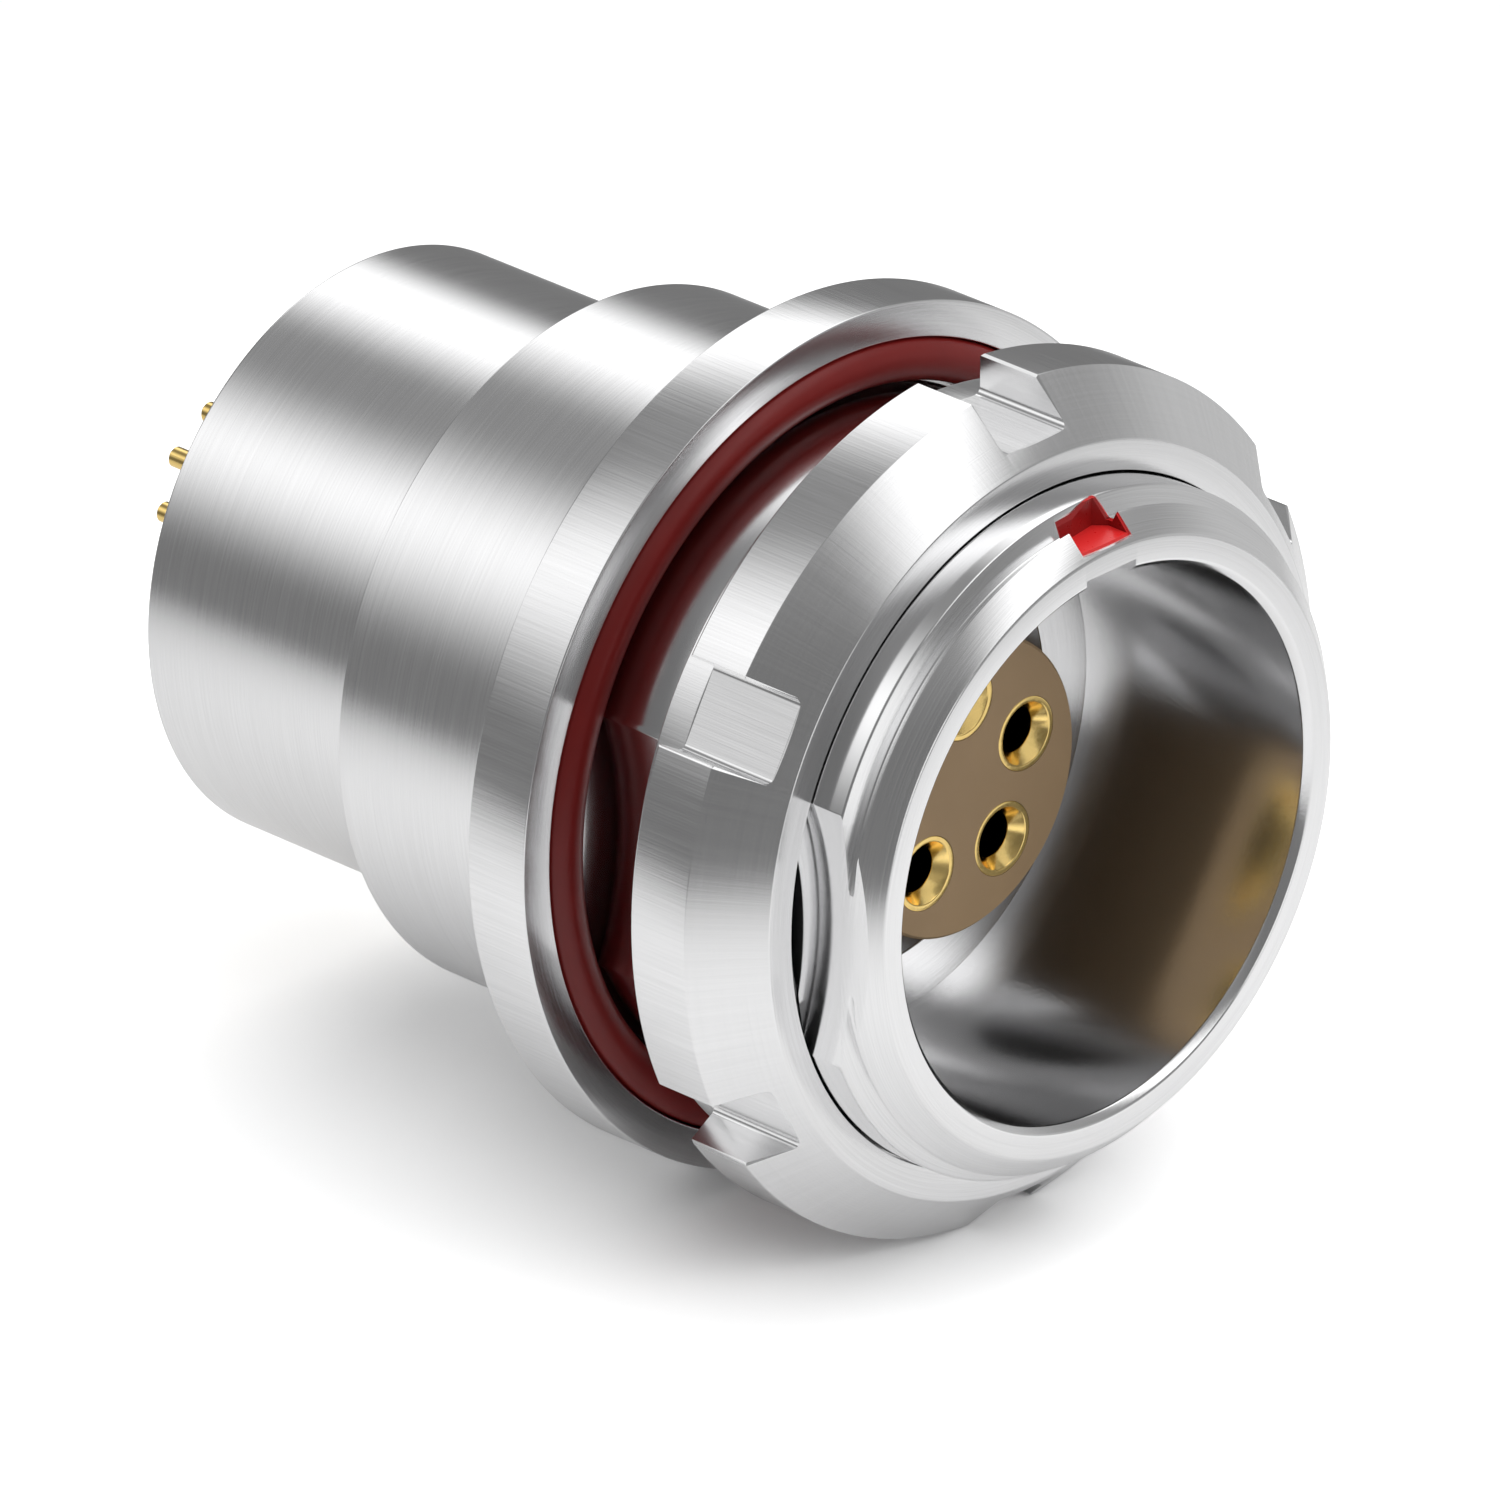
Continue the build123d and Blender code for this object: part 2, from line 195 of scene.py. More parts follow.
def new_object(name, mesh):
    """A new object in the scene for the mesh."""
    obj = bpy.data.objects.new(name, mesh)
    bpy.context.scene.collection.objects.link(obj)
    return obj


def closed_mesh(bm, name):
    """The bmesh as a mesh whose faces look outwards."""
    bmesh.ops.recalc_face_normals(bm, faces=bm.faces)
    mesh = bpy.data.meshes.new(name)
    bm.to_mesh(mesh)
    bm.free()
    return mesh


def soften(outline, radius):
    """The closed outline with each corner rounded by about radius, in short steps."""
    count = len(outline)
    result = []
    for index, corner in enumerate(outline):
        point = Vector(corner)
        before = Vector(outline[index - 1]) - point
        after = Vector(outline[(index + 1) % count]) - point
        reach = min(radius, before.length * 0.4, after.length * 0.4)
        start = point + before.normalized() * reach
        end = point + after.normalized() * reach
        for step in range(CORNER_POINTS):
            t = step / CORNER_STEPS
            curve = start * (1 - t) ** 2 + point * 2 * t * (1 - t) + end * t ** 2
            result.append((curve.x, curve.y))
    return result


def within(value, low, high):
    """The value, or the limit that it passes."""
    return max(low, min(high, value))


def thread(turn, start, end, plain, deep, flats, run=0.0):
    """Corners (y, radius) of the thread between two stations, at this share of a turn.
    deep is the radius of the barrel's grooves or the nut's ridges. Over the length run
    the thread fades in at its start and out at its end."""
    narrow, wide = flats
    corners = []
    for pitch in range(THREAD_TURNS):
        middle = THREAD_PLACE + (pitch - turn) * PITCH
        for offset in (-wide, -narrow, narrow, wide):
            y = within(middle + offset, start, end)
            phase = (y - THREAD_PLACE) / PITCH + turn
            away = abs(phase - round(phase)) * PITCH
            depth = within((wide - away) / (wide - narrow), 0.0, 1.0)
            if run:
                depth *= within(min(y - start, end - y) / run, 0.0, 1.0)
            corners.append((y, plain + (deep - plain) * depth))
    return corners


def lathe(name, outline, centre=(0.0, 0.0), segments=SEGMENTS, threaded=None):
    """A ring: the closed outline of (y, radius) corners revolved about an axis along Y.
    threaded is how many corners come before a thread, and the thread's values."""
    bm = bmesh.new()
    rings = []
    for index in range(segments + 1):
        turn = index / segments
        cosine, sine = math.cos(2 * math.pi * turn), math.sin(2 * math.pi * turn)
        points = list(outline)
        if threaded:
            place, values = threaded
            points[place:place] = thread(turn, **values)
        rings.append([
            bm.verts.new(Vector((centre[0] + r * cosine, y, centre[1] + r * sine)) * MM)
            for y, r in points
        ])
    corners = len(points)
    for here, there in zip(rings, rings[1:]):
        for corner in range(corners):
            after = (corner + 1) % corners
            bm.faces.new((here[corner], here[after], there[after], there[corner]))
    bmesh.ops.remove_doubles(bm, verts=bm.verts, dist=MERGE)
    return new_object(name, closed_mesh(bm, name))


def loft(first, second):
    """A cutter between two closed sections with the same number of corners."""
    bm = bmesh.new()
    low = [bm.verts.new(Vector(corner) * MM) for corner in first]
    high = [bm.verts.new(Vector(corner) * MM) for corner in second]
    bm.faces.new(low)
    bm.faces.new(list(reversed(high)))
    for index in range(len(low)):
        after = (index + 1) % len(low)
        bm.faces.new((low[after], low[index], high[index], high[after]))
    return new_object("cutter", closed_mesh(bm, "cutter"))


def prism_y(points, start, end):
    """A cutter along Y whose section is the closed polygon of (x, z) corners."""
    return loft([(x, start, z) for x, z in points], [(x, end, z) for x, z in points])


def prism_z(points, start, end):
    """A cutter along Z whose plan is the closed polygon of (x, y) corners."""
    return loft([(x, y, start) for x, y in points], [(x, y, end) for x, y in points])


def block(x0, x1, y0, y1, z0, z1):
    """A box between these limits."""
    return prism_y([(x0, z0), (x1, z0), (x1, z1), (x0, z1)], y0, y1)


def flare(front, back):
    """A cutter that widens upwards at 45 degrees and bevels both edges of a notch.
    Each end is a station and the height at which the bevel begins."""
    return loft(*(
        [
            (-NOTCH_HALF, y, z),
            (NOTCH_HALF, y, z),
            (NOTCH_HALF + FLARE, y, z + FLARE),
            (-NOTCH_HALF - FLARE, y, z + FLARE),
        ]
        for y, z in (front, back)
    ))


def spin(obj, degrees):
    """Turns a cutter about the socket's axis, in its mesh."""
    obj.data.transform(Matrix.Rotation(math.radians(degrees), 4, "Y"))
    return obj


def carve(obj, cutters):
    """Cuts the cutters out of the object for good."""
    for cutter in cutters:
        modifier = obj.modifiers.new("cut", "BOOLEAN")
        modifier.operation = "DIFFERENCE"
        modifier.solver = "EXACT"
        modifier.object = cutter
    graph = bpy.context.evaluated_depsgraph_get()
    mesh = bpy.data.meshes.new_from_object(obj.evaluated_get(graph))
    obj.modifiers.clear()
    obj.data = mesh
    mesh.name = obj.name
    for cutter in cutters:
        bpy.data.objects.remove(cutter)


def finish_piece(obj, nodes, body, slot, corner=32):
    """Shades, paints and mounts a piece in place of its CAD nodes. Edges sharper than
    corner degrees stay crisp."""
    obj.data.materials.clear()
    obj.data.materials.append(SLOTS[slot])
    obj.data.polygons.foreach_set("use_smooth", [True] * len(obj.data.polygons))
    obj.data.set_sharp_from_angle(angle=math.radians(corner))
    weights = obj.modifiers.new("even normals", "WEIGHTED_NORMAL")
    weights.keep_sharp = True
    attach(obj, body)
    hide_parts(*nodes)


# Materials

class Graph:
    """Short calls for building a shader."""

    def __init__(self, tree):
        self.tree = tree

    def add(self, kind, inputs=None, **settings):
        """A node with its settings, and its inputs wired or set."""
        node = self.tree.nodes.new(kind)
        for name, value in settings.items():
            setattr(node, name, value)
        for key, value in (inputs or {}).items():
            self.wire(value, node.inputs[key])
        return node

    def wire(self, value, socket):
        """Links another node's output to the socket, or sets the socket's value."""
        if isinstance(value, bpy.types.NodeSocket):
            self.tree.links.new(value, socket)
        else:
            socket.default_value = value

    def math(self, operation, first, second=0.0, clamp=False):
        node = self.add(
            "ShaderNodeMath", {0: first, 1: second}, operation=operation, use_clamp=clamp,
        )
        return node.outputs[0]

    def plus(self, *values):
        """The sum of the values."""
        total = values[0]
        for value in values[1:]:
            total = self.math("ADD", total, value)
        return total

    def times(self, *values):
        """The product of the values."""
        total = values[0]
        for value in values[1:]:
            total = self.math("MULTIPLY", total, value)
        return total

    def span(self, value, low, high, to_low=0.0, to_high=1.0):
        """A smooth step from to_low to to_high as the value goes from low to high."""
        node = self.add(
            "ShaderNodeMapRange",
            {
                "Value": value,
                "From Min": low,
                "From Max": high,
                "To Min": to_low,
                "To Max": to_high,
            },
            interpolation_type="SMOOTHSTEP",
        )
        return node.outputs["Result"]

    def blend(self, factor, first, second):
        """From the first colour to the second."""
        node = self.add("ShaderNodeMix", data_type="RGBA", clamp_factor=True)
        self.wire(factor, node.inputs[0])
        self.wire(first, node.inputs[6])
        self.wire(second, node.inputs[7])
        return node.outputs[2]

    def mix(self, factor, first, second):
        """From the first number to the second."""
        node = self.add("ShaderNodeMix", data_type="FLOAT", clamp_factor=True)
        self.wire(factor, node.inputs[0])
        self.wire(first, node.inputs[2])
        self.wire(second, node.inputs[3])
        return node.outputs[0]

    def vector(self, x, y, z):
        return self.add("ShaderNodeCombineXYZ", {0: x, 1: y, 2: z}).outputs[0]

    def axes(self, vector):
        """The vector's x, y and z."""
        return self.add("ShaderNodeSeparateXYZ", {0: vector}).outputs

    def length(self, vector):
        node = self.add("ShaderNodeVectorMath", {0: vector}, operation="LENGTH")
        return node.outputs["Value"]

    def grey(self, level):
        """A colour with the level in all three channels."""
        return self.add("ShaderNodeCombineColor", {0: level, 1: level, 2: level}).outputs[0]

    def noise(self, vector, scale=1.0, detail=2.0, rough=0.5):
        node = self.add(
            "ShaderNodeTexNoise",
            {"Vector": vector, "Scale": scale, "Detail": detail, "Roughness": rough},
        )
        return node.outputs["Fac"]

    def local(self):
        """The place on the piece, in metres."""
        return self.add("ShaderNodeTexCoord").outputs["Object"]

    def true_normal(self):
        return self.add("ShaderNodeNewGeometry").outputs["True Normal"]


def new_material(name):
    material = bpy.data.materials.new(name)
    material.use_nodes = True
    material.node_tree.nodes.clear()
    return material, Graph(material.node_tree)


def output(g, shader):
    g.add("ShaderNodeOutputMaterial", {"Surface": shader})


def turned_metal(name, colour, rough, polish=False):
    """Plated metal: turning marks round the axis, straight marks across the wide rims,
    both on the nut's cone. With polish, the bore and the panel barrel are bright."""
    material, g = new_material(name)
    x, y, z = (g.times(part, 1 / MM) for part in g.axes(g.local()))
    squared = g.plus(g.times(x, x), g.times(z, z))
    radius = g.math("MAXIMUM", g.math("SQRT", squared), 0.01)
    ux, uz = g.math("DIVIDE", x, radius), g.math("DIVIDE", z, radius)

    # Marks are noise stretched round the axis, or along it on the rims of the flange
    # and the nut, which lie beyond a radius of 11.2.
    along = g.plus(y, radius)
    marks_round = g.noise(
        g.vector(g.times(ux, 2.0), g.times(along, 26.0), g.times(uz, 2.0)),
        detail=3.0, rough=0.6,
    )
    marks_along = g.noise(
        g.vector(g.times(ux, 230.0), g.times(y, 0.25), g.times(uz, 230.0)),
        detail=3.0, rough=0.6,
    )
    facing = g.math("ABSOLUTE", g.axes(g.true_normal())[1])
    on_rim = g.times(g.span(radius, 11.1, 11.2), g.span(facing, 0.25, 0.35, 1.0, 0.0))
    on_cone = g.times(
        g.span(facing, 0.35, 0.5),
        g.span(facing, 0.8, 0.9, 0.5, 0.0),
        g.span(radius, 10.3, 10.6),
    )
    marks = g.mix(g.math("MAXIMUM", on_rim, on_cone), marks_round, marks_along)
    centred = g.math("SUBTRACT", marks, 0.5)
    height = centred
    if polish:
        bore = g.span(radius, 8.4, 8.5, 1.0, 0.0)
        barrel = g.times(
            g.span(radius, BARREL + 0.01, BARREL + 0.05, 1.0, 0.0),
            g.span(y, CREST_Y, CREST_Y + 0.04),
            g.span(y, GROOVE_Y + 0.03, GROOVE_Y + 0.07, 1.0, 0.0),
        )
        bright = g.math("MAXIMUM", bore, barrel)
        rough = g.mix(bright, rough, g.mix(bore, 0.11, 0.155))
        centred = g.times(centred, g.mix(bright, 1.0, 0.15))
        peel = g.noise(g.vector(x, y, z), scale=7.0, detail=3.0)
        height = g.plus(centred, g.times(peel, bore, 0.8))

    cloud = g.noise(g.vector(g.times(x, 0.3), g.times(y, 0.3), g.times(z, 0.3)))
    roughness = g.plus(rough, g.times(centred, 0.12))
    uneven = g.times(g.math("SUBTRACT", cloud, 0.5), 0.05)
    roughness = g.math("ADD", roughness, uneven, clamp=True)
    tint = g.add("ShaderNodeMix", data_type="RGBA", blend_type="MULTIPLY")
    tint.inputs[0].default_value = 1.0
    tint.inputs[6].default_value = (*colour, 1.0)
    g.wire(g.grey(g.plus(1.0, g.times(centred, 0.3))), tint.inputs[7])
    bump = g.add("ShaderNodeBump", {"Strength": 0.15, "Distance": 0.00001, "Height": height})
    tangent = g.add("ShaderNodeTangent", direction_type="RADIAL", axis="Y")
    shader = g.add("ShaderNodeBsdfPrincipled", {
        "Base Color": tint.outputs[2],
        "Metallic": 1.0,
        "Roughness": roughness,
        "Anisotropic": 0.4,
        "Anisotropic Rotation": 0.25,
        "Tangent": tangent.outputs[0],
        "Normal": bump.outputs[0],
    })
    output(g, shader.outputs[0])
    return material


def plain(name, colour, metallic, rough, grain=900.0, tint=0.12, specular=0.5,
          shaded_walls=None, hole_shade=None):
    """A finish with a fine grain in its colour, gloss and surface. shaded_walls is a
    darker colour for upright faces, where it differs: painted shade, as if the walls
    stood out of the light. hole_shade is a stretch along Y, down the pin holes,
    painted nearly black: painted shade deep in the holes."""
    material, g = new_material(name)
    local = g.local()
    fine = g.noise(local, scale=grain * 8, detail=3.0)
    broad = g.noise(local, scale=grain)
    uneven = g.times(g.math("SUBTRACT", fine, 0.5), 0.16)
    roughness = g.math("ADD", rough, uneven, clamp=True)
    dark = tuple(channel * (1 - tint) for channel in colour)
    light = tuple(min(channel * (1 + tint), 1.0) for channel in colour)
    shade = g.blend(broad, (*dark, 1.0), (*light, 1.0))
    # Painted shade: upright faces are coloured darker, as if they stood out of the light.
    if shaded_walls:
        upward = g.math("ABSOLUTE", g.axes(g.true_normal())[2])
        shade = g.blend(g.span(upward, 0.3, 0.8), (*shaded_walls, 1.0), shade)
    # Painted shade: the surface turns nearly black down the pin holes, for the shade deep
    # inside them.
    if hole_shade:
        start, end = hole_shade
        y = g.times(g.axes(local)[1], 1 / MM)
        hole_shade_mask = g.times(g.span(y, start, start + 0.3), g.span(y, end - 0.3, end, 1.0, 0.0))
        shade = g.blend(hole_shade_mask, shade, (0.03, 0.02, 0.01, 1.0))
    bump = g.add("ShaderNodeBump", {"Strength": 0.3, "Distance": 0.000005, "Height": fine})
    shader = g.add("ShaderNodeBsdfPrincipled", {
        "Base Color": shade,
        "Metallic": metallic,
        "Roughness": roughness,
        "Specular IOR Level": specular,
        "Normal": bump.outputs[0],
    })
    output(g, shader.outputs[0])
    return material


SLOTS = {
    "satin_metal": turned_metal("body metal", (0.86, 0.86, 0.865), 0.2, polish=True),
    "nut_metal": turned_metal("nut metal", (0.86, 0.86, 0.865), 0.2),
    "carrier_metal": turned_metal("carrier metal", (0.82, 0.82, 0.825), 0.2),
    # Gold hoods: painted shade, nearly black, down the pin holes.
    "gold": plain("gold", (0.93, 0.66, 0.24), 1.0, 0.16, hole_shade=(INSULATOR_Y + 0.4, 5.0)),
    "brown_plastic": plain("brown plastic", (0.32, 0.215, 0.115), 0.0, 0.5, grain=300.0),
    "red_rubber": plain("red rubber", (0.17, 0.009, 0.008), 0.0, 0.36, specular=0.35),
    # Red paint: its upright walls are painted darker, as painted shade.
    "red_paint": plain(
        "red paint", (0.70, 0.022, 0.022), 0.0, 0.3, tint=0.05, shaded_walls=(0.24, 0.008, 0.008),
    ),
    "black_resin": plain("black resin", (0.02, 0.02, 0.022), 0.0, 0.3),
}

for part in frame["record"]["subparts"]:
    node = frame["nodes"][part["node"]]
    for slot in node.material_slots:
        slot.material = SLOTS[part["material_slot"]]

# Shell

CREST_CORNER = 6
shell = lathe("shell_turned", soften([
    (NOSE_Y, BORE + BORE_BEVEL),
    (NOSE_Y, NOSE_FACE),
    (LIP_Y, LIP),
    (RELIEF_FRONT_Y, RELIEF),
    (RELIEF_REAR_Y, RELIEF),
    (CREST_Y, BARREL),
    (GROOVE_Y, BARREL),
    (GROOVE_Y, GROOVE_OUTER),
    (0, GROOVE_OUTER),
    (0, RIM),
    (FLANGE_BACK_Y, RIM),
    (FLANGE_BACK_Y, COLLAR),
    (SHELL_BACK_Y, COLLAR),
    (SHELL_BACK_Y, POCKET),
    (BORE_FLOOR_Y, POCKET),
    (BORE_FLOOR_Y, BORE),
    (BORE_FLOOR_Y - 0.01, BORE),
    (NOSE_Y + BORE_BEVEL, BORE),
], SHELL_EDGE), threaded=(CREST_CORNER * CORNER_POINTS, {
    "start": THREAD_FRONT_Y,
    "end": THREAD_BACK_Y,
    "plain": BARREL,
    "deep": THREAD_ROOT,
    "flats": ROOT_FLATS,
    "run": THREAD_RUN,
}))
carve(shell, [
    block(FLAT, CUT_OUT, CUT_FRONT_Y, GROOVE_Y, -FLAT_HALF, FLAT_HALF),
    block(-CUT_OUT, -FLAT, CUT_FRONT_Y, GROOVE_Y, -FLAT_HALF, FLAT_HALF),
    block(-KEYWAY_HALF, KEYWAY_HALF, CUT_FRONT_Y, BORE_FLOOR_Y, KEYWAY_BASE, KEYWAY_TOP),
    prism_z(INDEX_PLAN, INDEX_FLOOR, INDEX_TOP),
])
finish_piece(shell, ["shell"], "socket", "satin_metal")

# Rear sleeve

sleeve = lathe("rear_sleeve_turned", soften([
    (SLEEVE_FRONT_Y, SLEEVE_THROAT),
    (SLEEVE_FRONT_Y, BLOCK),
    (SEAL_FRONT_Y, BLOCK),
    (SEAL_FRONT_Y, SEAL_GROOVE),
    (SEAL_BACK_Y, SEAL_GROOVE),
    (SEAL_BACK_Y, BLOCK),
    (SHELL_BACK_Y, BLOCK),
    (SHELL_BACK_Y, SLEEVE),
    (SLEEVE_BACK_Y, SLEEVE),
    (SLEEVE_BACK_Y, SLEEVE_BORE),
    (THROAT_BACK_Y, SLEEVE_BORE),
    (THROAT_BACK_Y, SLEEVE_THROAT),
], SLEEVE_EDGE))
finish_piece(sleeve, ["rear_sleeve"], "socket", "satin_metal")

# Slotted nut and its washer

nut_outline = soften([
    (NUT_BACK_Y, NUT_BORE + NUT_REAR_BEVEL),
    (NUT_BACK_Y, RIM - NUT_RIM_BEVEL),
    (NUT_BACK_Y - NUT_RIM_BEVEL, RIM),
    (CONE_BASE_Y, RIM),
    (NUT_FRONT_Y, RIM - CONE_STEP),
    (NUT_FRONT_Y, NUT_MOUTH),
    (NUT_MOUTH_Y, NUT_MOUTH),
], NUT_EDGE) + [(NUT_THREAD_FRONT_Y, NUT_BORE), (NUT_THREAD_BACK_Y, NUT_BORE)]
nut = lathe("slotted_nut_turned", nut_outline, threaded=(len(nut_outline) - 1, {
    "start": NUT_THREAD_FRONT_Y,
    "end": NUT_THREAD_BACK_Y,
    "plain": NUT_BORE,
    "deep": THREAD_CREST,
    "flats": CREST_FLATS,
}))
notch_section = [(-NOTCH_HALF, NOTCH_TOP)]
for side in (-1, 1):
    for step in range(FILLET_STEPS + 1):
        share = step / FILLET_STEPS
        angle = math.radians(90 * share if side < 0 else 90 - 90 * share)
        notch_section.append((
            side * (NOTCH_HALF - NOTCH_FILLET + NOTCH_FILLET * math.cos(angle)),
            NOTCH_FLOOR + NOTCH_FILLET - NOTCH_FILLET * math.sin(angle),
        ))
notch_section.append((NOTCH_HALF, NOTCH_TOP))
for index in range(NOTCHES):
    turn = 360 * index / NOTCHES
    carve(nut, [spin(prism_y(notch_section, NOTCH_FRONT_Y, NOTCH_BACK_Y), turn)])
    carve(nut, [spin(flare(EDGE_BASE, EDGE_BACK), turn)])
    carve(nut, [spin(flare(EDGE_FRONT, EDGE_BASE), turn)])
finish_piece(nut, ["slotted_nut"], "nut", "nut_metal")

# The washer's hole is round with a flat on each side, as the barrel is.
washer = lathe("clamp_washer_turned", soften([
    (WASHER_BACK_Y, WASHER_FLAT),
    (WASHER_BACK_Y, WASHER),
    (NUT_BACK_Y, WASHER),
    (NUT_BACK_Y, WASHER_FLAT),
], WASHER_EDGE))
washer_hole = []
for step in range(WASHER_HOLE_SEGMENTS):
    angle = 2 * math.pi * step / WASHER_HOLE_SEGMENTS
    washer_hole.append((
        within(WASHER_HOLE * math.cos(angle), -WASHER_FLAT, WASHER_FLAT),
        WASHER_HOLE * math.sin(angle),
    ))
carve(washer, [prism_y(washer_hole, NUT_BACK_Y - 1, WASHER_BACK_Y + 1)])
finish_piece(washer, ["clamp_washer"], "washer", "nut_metal")

# O-ring

ring_section = []
for step in range(RING_STEPS):
    angle = 2 * math.pi * step / RING_STEPS
    ring_section.append((
        RING_Y + RING_SECTION * math.cos(angle),
        RING + RING_SECTION * math.sin(angle),
    ))
ring = lathe("panel_o_ring_round", ring_section)
finish_piece(ring, ["panel_o_ring"], "socket", "red_rubber", corner=60)

# Contact block

carrier = lathe("block_carrier_turned", soften([
    (BORE_FLOOR_Y, RECESS),
    (BORE_FLOOR_Y, BLOCK),
    (SLEEVE_FRONT_Y, BLOCK),
    (SLEEVE_FRONT_Y, CARRIER_REAR),
    (WEB_BACK_Y, CARRIER_REAR),
    (WEB_BACK_Y, WEB_BORE),
    (RECESS_FLOOR_Y, WEB_BORE),
    (RECESS_FLOOR_Y, RECESS),
], CARRIER_EDGE))
finish_piece(carrier, ["block_carrier"], "socket", "carrier_metal")

insulator = lathe("front_insulator_moulded", [
    (INSULATOR_BACK_Y, 0.0),
    (INSULATOR_Y, 0.0),
    (INSULATOR_Y, INSULATOR - INSULATOR_EDGE),
    (INSULATOR_Y + INSULATOR_EDGE, INSULATOR),
    (WEB_BACK_Y, INSULATOR),
    (WEB_BACK_Y, INSULATOR_FLANGE),
    (INSULATOR_BACK_Y, INSULATOR_FLANGE),
], segments=INSULATOR_SEGMENTS)
contact_centres = []
for index in range(CONTACTS):
    angle = math.radians(90 - 360 * index / CONTACTS)
    contact_centres.append((
        CONTACT_CIRCLE * math.cos(angle),
        CONTACT_CIRCLE * math.sin(angle),
    ))
carve(insulator, [
    lathe("cutter", [
        (HOLE_FRONT_Y, 0.0),
        (HOLE_FRONT_Y, HOLE),
        (HOLE_BACK_Y, HOLE),
        (HOLE_BACK_Y, 0.0),
    ], centre, HOLE_SEGMENTS)
    for centre in contact_centres
])
finish_piece(insulator, ["front_insulator"], "socket", "brown_plastic")

# A hood is a tube with a flat rim, and a countersunk lip in front of the contact.
for index, centre in enumerate(contact_centres):
    hood = lathe(f"contact_hood_turned_{index + 1}", soften([
        (INSULATOR_Y, HOOD_MOUTH),
        (INSULATOR_Y, HOOD),
        (HOOD_BACK_Y, HOOD),
        (HOOD_BACK_Y, HOOD_INNER),
        (HOOD_LIP_BACK_Y, HOOD_INNER),
        (HOOD_LIP_BACK_Y, PIN_HOLE),
        (HOOD_LIP_FRONT_Y, PIN_HOLE),
    ], HOOD_EDGE), centre, HOLE_SEGMENTS)
    finish_piece(hood, [f"contact_hood_{index + 1}"], "socket", "gold")

# Studio floor: pale, and fading out to the white around it. Lengths are metres from
# here on. The second value of each pair is what the camera sees, and the first is what
# all other rays meet.

FLOOR_RADIUS = 0.5
FADE_START = (0.02, 0.03)
FADE_END = (0.10, 0.09)
FLOOR_LEVEL = (0.91, 1.45)

floor_mesh = bpy.data.meshes.new("studio_floor")
bm = bmesh.new()
bmesh.ops.create_circle(bm, cap_ends=True, radius=FLOOR_RADIUS, segments=96)
bmesh.ops.translate(bm, verts=bm.verts, vec=(0, 0, -RIM * MM))
bm.to_mesh(floor_mesh)
bm.free()
floor = new_object("studio_floor", floor_mesh)
floor_material, g = new_material("studio floor")
x, y, _ = g.axes(g.local())
seen = g.add("ShaderNodeLightPath").outputs["Is Camera Ray"]
fade = g.span(g.length(g.vector(x, y, 0.0)), g.mix(seen, *FADE_START), g.mix(seen, *FADE_END))
matt = g.add("ShaderNodeBsdfDiffuse", {"Color": g.grey(g.mix(seen, *FLOOR_LEVEL))})
clear = g.add("ShaderNodeBsdfTransparent")
surface = g.add("ShaderNodeMixShader", {0: fade, 1: matt.outputs[0], 2: clear.outputs[0]})
output(g, surface.outputs[0])
floor_mesh.materials.append(floor_material)


# Lamps

def softbox(name, first, second, width, radiance):
    """A long lamp whose middle line runs between two points, facing the origin. It
    lights the matt surfaces; the metal mirrors the soft bands of the world instead."""
    first, second = Vector(first), Vector(second)
    centre = (first + second) / 2
    length = (second - first).length
    along = (second - first).normalized()
    facing = (centre - along * centre.dot(along)).normalized()
    side = along.cross(facing)
    data = bpy.data.lights.new(name, "AREA")
    data.shape = "RECTANGLE"
    data.size = width
    data.size_y = length
    data.energy = radiance * math.pi * width * length
    lamp = bpy.data.objects.new(name, data)
    turned = Matrix((side, along, facing)).transposed().to_4x4()
    lamp.matrix_world = Matrix.Translation(centre) @ turned
    lamp.visible_camera = False
    lamp.visible_glossy = False
    bpy.context.scene.collection.objects.link(lamp)


softbox("ceiling", (0.1, -1.5, 1.0), (0.1, 1.1, 1.0), 2.4, 1.15)
softbox("front fill", (0.0, -1.0, 0.45), (0.8, -1.0, 0.45), 0.5, 2.5)

# World: a dim room, a little brighter overhead and on the right, and soft bands that
# only the metal mirrors. The camera sees white.

ROOM = 0.19

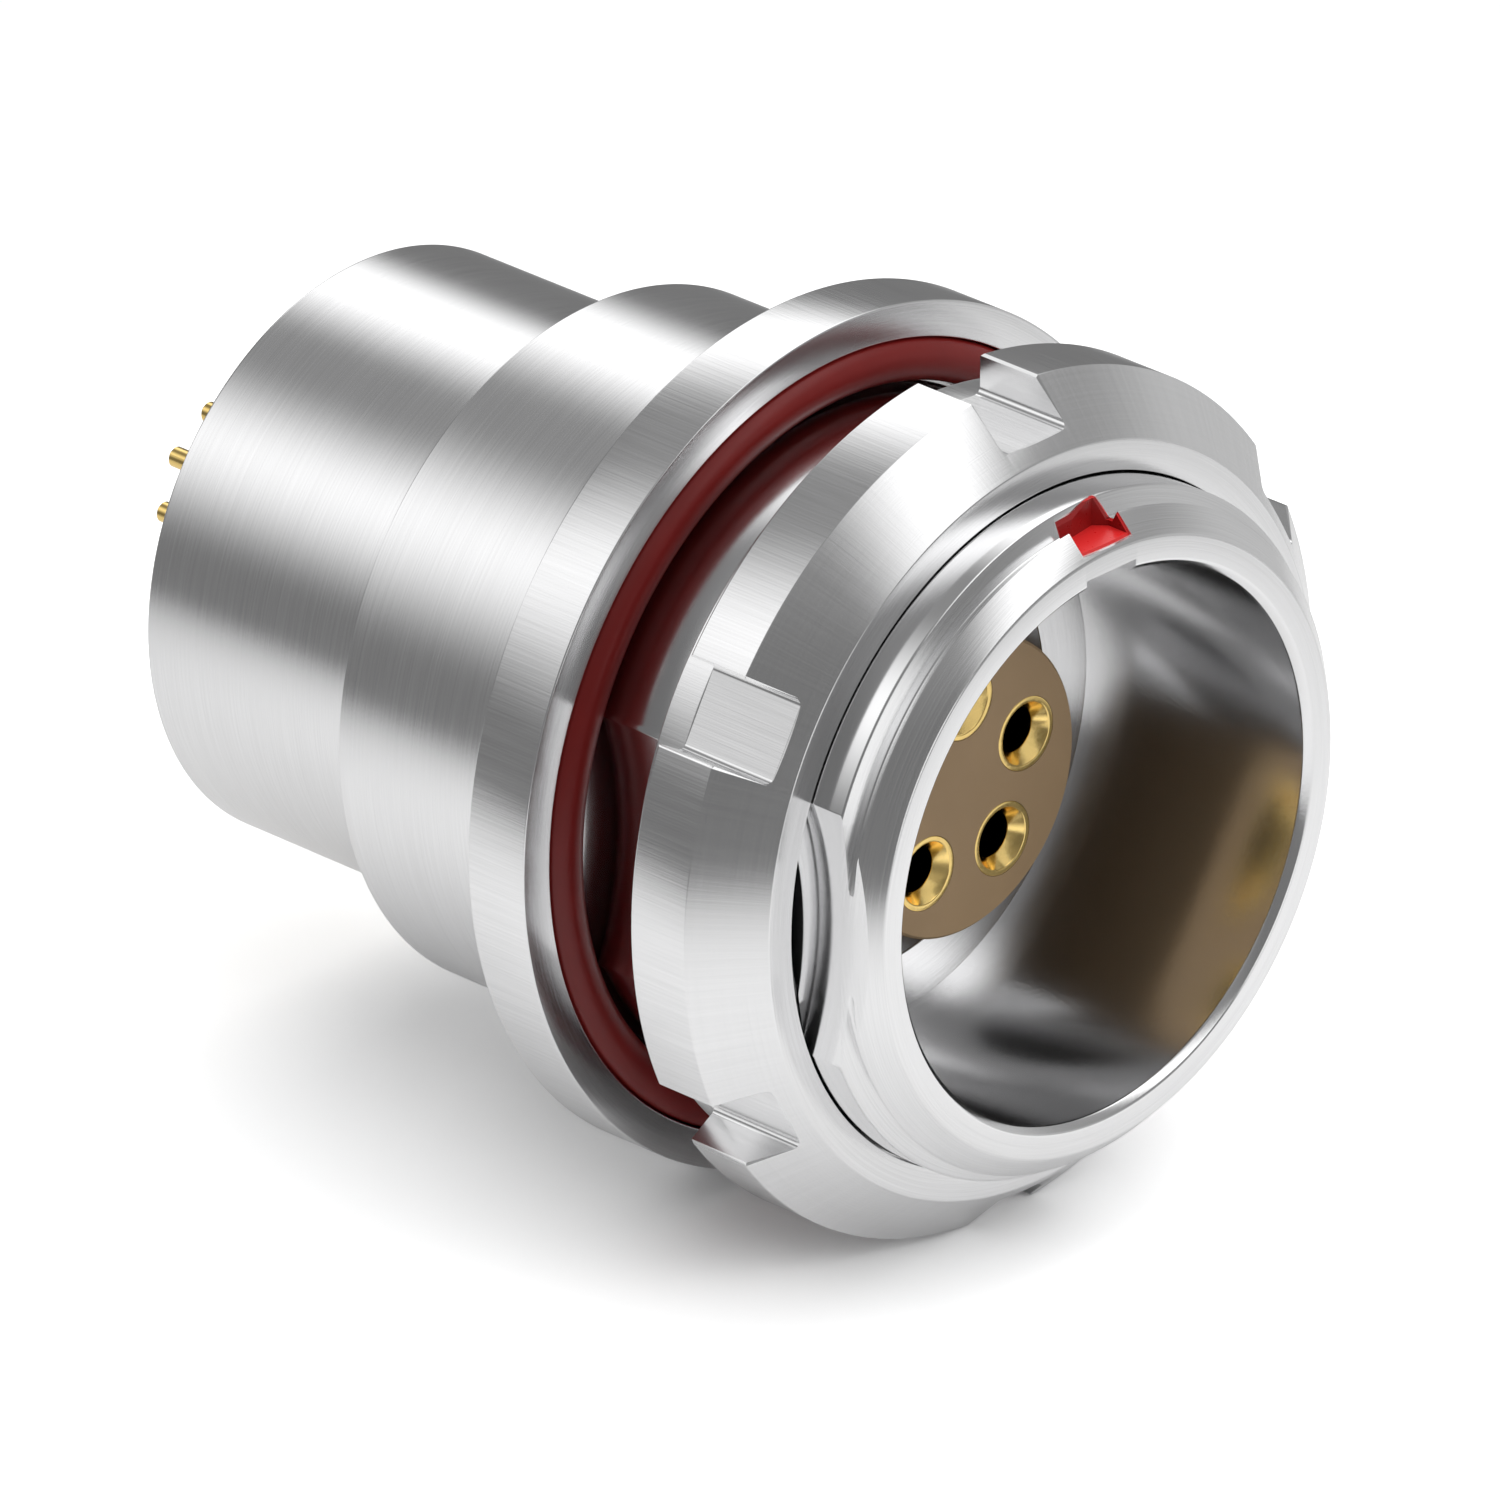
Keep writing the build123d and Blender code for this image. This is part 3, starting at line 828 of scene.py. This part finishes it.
world = bpy.data.worlds.new("studio")
bpy.context.scene.world = world
world.use_nodes = True
world.node_tree.nodes.clear()
g = Graph(world.node_tree)
direction = g.add("ShaderNodeTexCoord").outputs["Generated"]
x, y, z = g.axes(direction)
right_wall = g.times(
    g.span(x, 0.2, 0.95, 0.0, 0.36),
    g.span(y, 0.3, 0.6, 1.0, 0.0),
    g.span(z, 0.1, 0.5, 1.0, 0.4),
)
room = g.plus(right_wall, ROOM, g.span(z, 0.4, 0.8, 0.0, 0.09))

# The angle about the socket's axis in degrees, and the lean forwards or back, decide
# how bright a band is. The overhead band lies askew: its angle shifts with the lean.
angle = g.times(g.math("ARCTAN2", z, x), 180.0 / math.pi)
lean = g.math("DIVIDE", y, g.math("MAXIMUM", g.length(g.vector(x, 0.0, z)), 0.05))
across = g.math("SUBTRACT", g.plus(angle, g.times(lean, 10.8)), 60.0)
rise = g.math("SUBTRACT", -25.0, g.times(lean, 7.0))
overhead = g.times(
    g.span(across, rise, -5.0),
    g.span(across, 0.0, 33.0, 1.0, 0.0),
    g.span(g.math("ABSOLUTE", lean), 1.5, 2.2, 1.2, 0.0),
)
left = g.times(
    g.span(angle, 98.0, 134.0),
    g.span(angle, 135.0, 176.0, 0.93, 0.0),
    g.span(lean, 0.0, 0.4),
)
front = g.span(y, -0.96, -0.985, 0.0, 0.9)
bands = g.plus(overhead, left, front)
path = g.add("ShaderNodeLightPath").outputs
lit = g.plus(room, g.times(bands, path["Is Glossy Ray"]))
background = g.add("ShaderNodeBackground", {
    "Color": g.grey(g.mix(path["Is Camera Ray"], lit, 1.0)),
    "Strength": 1.0,
})
g.add("ShaderNodeOutputWorld", {"Surface": background.outputs[0]})

# Camera at the photo's place, fitted to the circles of the socket

camera_data = bpy.data.cameras.new("camera")
camera_data.lens = 539.0
camera_data.sensor_width = 36.0
camera_data.clip_end = 20.0
camera = bpy.data.objects.new("camera", camera_data)
right = Vector((0.69085, -0.72300, 0.0))
up = Vector((0.31555, 0.30151, 0.89973))
forward = Vector((0.65051, 0.62158, -0.43644))
basis = Matrix((right, up, -forward)).transposed()
camera.matrix_world = Matrix.Translation((-0.4019, -0.38055, 0.26808)) @ basis.to_4x4()
bpy.context.scene.collection.objects.link(camera)
bpy.context.scene.camera = camera
bpy.context.scene.view_settings.view_transform = "Standard"
